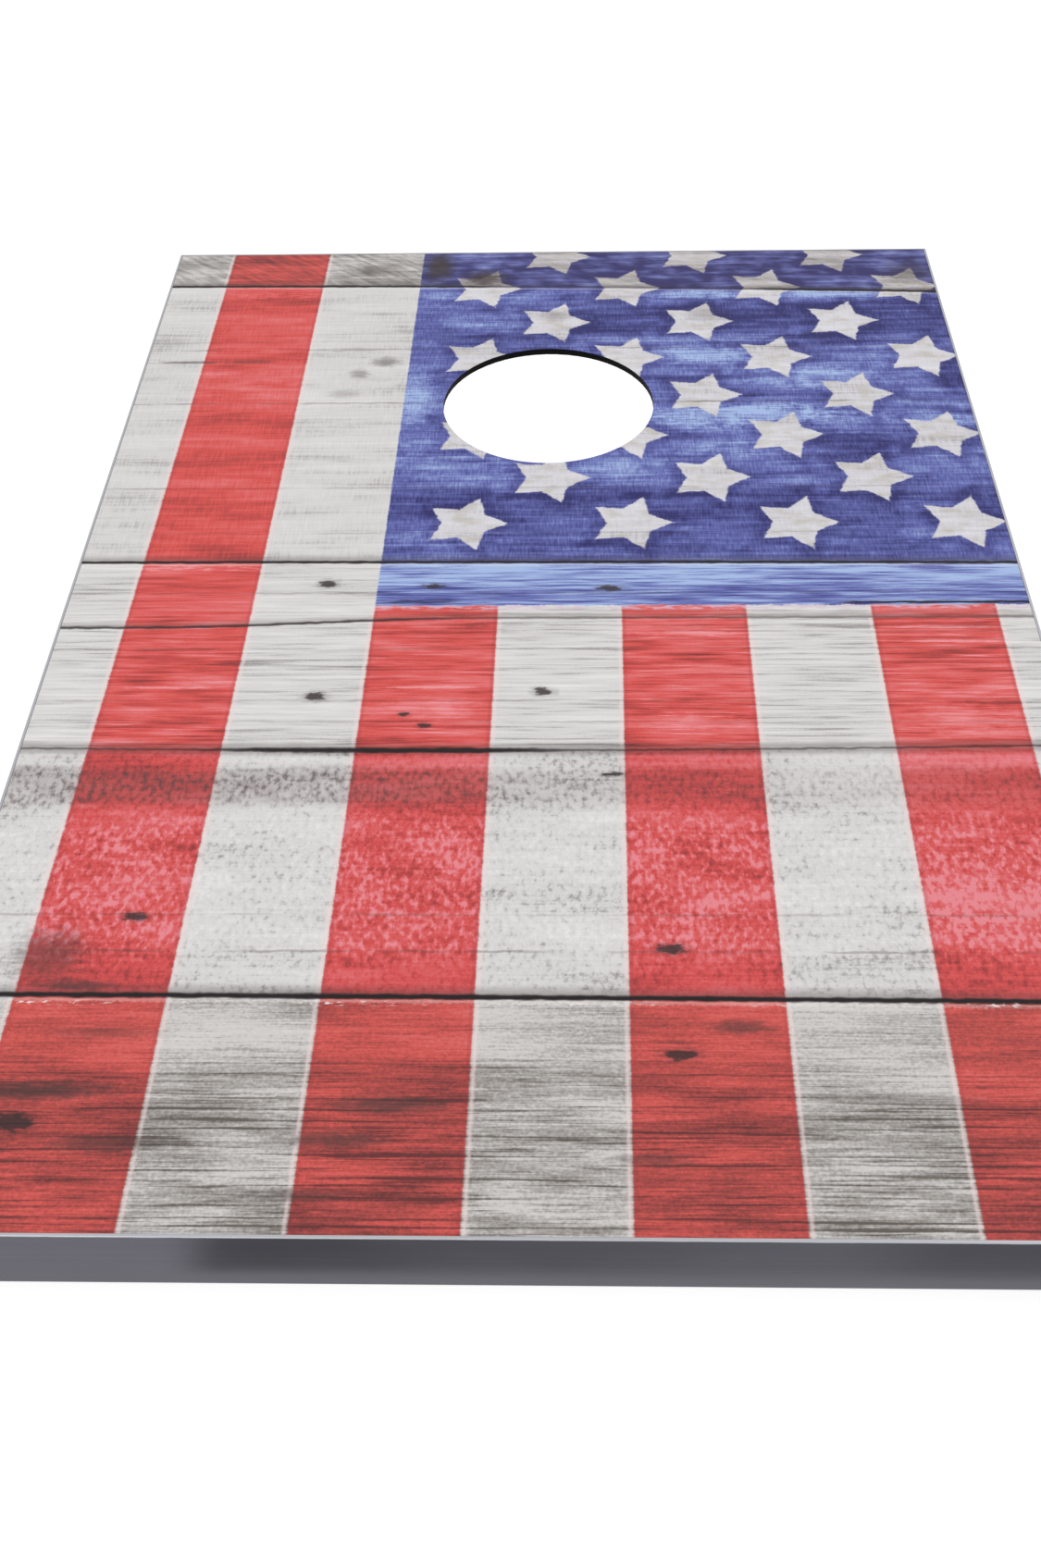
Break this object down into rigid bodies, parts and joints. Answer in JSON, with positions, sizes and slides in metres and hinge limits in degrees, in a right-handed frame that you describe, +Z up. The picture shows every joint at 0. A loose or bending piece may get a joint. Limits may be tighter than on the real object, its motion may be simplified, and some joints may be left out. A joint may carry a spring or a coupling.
{
  "type": "cornhole board",
  "caption": "Sloping bean bag target board with a round hole, a printed plank deck in a dark metal frame, and a folding rear leg frame.",
  "frame": {"origin": "on the ground, below the middle of the standing board's box", "axes": "+X to the player's right, +Y from the low front edge to the high rear edge, +Z up"},
  "size_m": [0.6096, 0.9302, 0.229],
  "materials": {
    "printed_laminate": "satin printed laminate of weathered planks with red and white stripes and a blue field of stars",
    "mdf": "raw medium density fibreboard, the wall of the hole painted black",
    "charcoal_aluminium": "charcoal satin anodised aluminium extrusion",
    "mill_aluminium": "mill finish aluminium",
    "foam_tape": "closed cell foam tape",
    "black_nylon": "fine moulded texture",
    "zinc_steel": "zinc plated",
    "black_coated_tube": "black powder coat",
    "foot_rubber": "matt black rubber"
  },
  "bodies": {
    "deck_frame": {"deck_panel": "mdf", "deck_print": "printed_laminate", "front_rail": "charcoal_aluminium", "rear_rail": "charcoal_aluminium", "left_rail": "charcoal_aluminium", "right_rail": "charcoal_aluminium", "cross_brace": "mill_aluminium", "brace_tape": "foam_tape", "front_corner_left": "black_nylon", "front_corner_right": "black_nylon", "rear_corner_left": "black_nylon", "rear_corner_right": "black_nylon", "corner_screws": "zinc_steel", "panel_screws": "zinc_steel", "brace_screws": "zinc_steel", "pivot_bolt_left": "zinc_steel", "pivot_bolt_right": "zinc_steel", "pivot_spacers": "black_nylon", "pivot_washers": "zinc_steel"},
    "leg_frame": {"leg_tube_left": "black_coated_tube", "leg_tube_right": "black_coated_tube", "leg_plug_left": "black_nylon", "leg_plug_right": "black_nylon", "leg_spacers": "black_nylon", "leg_foot_left": "foot_rubber", "leg_foot_right": "foot_rubber", "stretcher_tube": "black_coated_tube", "stretcher_plugs": "black_nylon", "stretcher_screws": "zinc_steel"},
    "wing_nut_left": {"wing_nut_left": "zinc_steel"},
    "wing_nut_right": {"wing_nut_right": "zinc_steel"}
  },
  "joints": [
    {"name": "leg_frame_fold", "type": "hinge", "parent": "deck_frame", "child": "leg_frame", "pos_m": [0, 0.40796, 0.20134], "axis": [-1, 0, 0], "range_deg": [0, 90]},
    {"name": "wing_nut_left_turn", "type": "hinge", "parent": "deck_frame", "child": "wing_nut_left", "pos_m": [-0.26, 0.40796, 0.20134], "axis": [1, 0, 0], "continuous": true},
    {"name": "wing_nut_right_turn", "type": "hinge", "parent": "deck_frame", "child": "wing_nut_right", "pos_m": [0.26, 0.40796, 0.20134], "axis": [1, 0, 0], "continuous": true}
  ]
}
